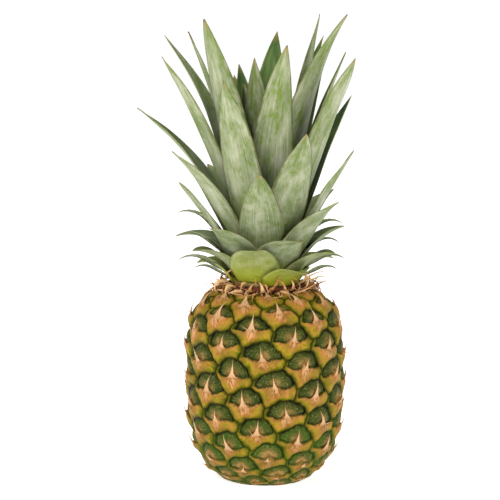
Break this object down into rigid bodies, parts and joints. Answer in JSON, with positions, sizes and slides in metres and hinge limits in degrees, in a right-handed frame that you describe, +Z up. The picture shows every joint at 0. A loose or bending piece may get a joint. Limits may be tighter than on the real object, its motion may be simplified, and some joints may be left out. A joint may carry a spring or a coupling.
{
  "type": "pineapple",
  "caption": "Whole ripe pineapple standing on its flat base: barrel-shaped fruit with spiralling eyes, each with a pointed dry bract, under a full crown of stiff curved leaves.",
  "frame": {"origin": "middle of the flat cut end of the stalk, on the plane that the pineapple stands on", "axes": "+Z up along the fruit's axis to the crown, -Y towards the side seen in the picture"},
  "size_m": [0.1605, 0.1691, 0.352],
  "materials": {
    "rind": "green to golden rind of raised eyes, each with two dark domes over a tan bract",
    "stalk": "dry straw-coloured cut stalk with a fibrous end",
    "stem": "pale stem, hidden between the leaf roots",
    "dry_bract": "dry brown curled bracts round the neck",
    "leaf": "stiff grey-green leaves with fine lengthwise lines, darker inside and yellow-green at the root"
  },
  "bodies": {
    "root": {"fruit": "rind", "cut_stalk": "stalk", "crown_stem": "stem", "dry_neck_bracts": "dry_bract", "leaf_01": "leaf", "leaf_02": "leaf", "leaf_03": "leaf", "leaf_04": "leaf", "leaf_05": "leaf", "leaf_06": "leaf", "leaf_07": "leaf", "leaf_08": "leaf", "leaf_09": "leaf", "leaf_10": "leaf", "leaf_11": "leaf", "leaf_12": "leaf", "leaf_13": "leaf", "leaf_14": "leaf", "leaf_15": "leaf", "leaf_16": "leaf", "leaf_17": "leaf", "leaf_18": "leaf", "leaf_19": "leaf", "leaf_20": "leaf", "leaf_21": "leaf", "leaf_22": "leaf", "leaf_23": "leaf", "leaf_24": "leaf", "leaf_25": "leaf", "leaf_26": "leaf", "leaf_27": "leaf", "leaf_28": "leaf", "leaf_29": "leaf", "leaf_30": "leaf", "leaf_31": "leaf", "leaf_32": "leaf", "leaf_33": "leaf", "leaf_34": "leaf", "leaf_35": "leaf", "leaf_36": "leaf", "leaf_37": "leaf", "leaf_38": "leaf", "leaf_39": "leaf", "leaf_40": "leaf", "leaf_41": "leaf", "leaf_42": "leaf", "leaf_43": "leaf", "leaf_44": "leaf", "leaf_45": "leaf", "leaf_46": "leaf", "leaf_47": "leaf", "leaf_48": "leaf", "leaf_49": "leaf", "leaf_50": "leaf", "leaf_51": "leaf", "leaf_52": "leaf", "leaf_53": "leaf", "leaf_54": "leaf"}
  },
  "joints": []
}
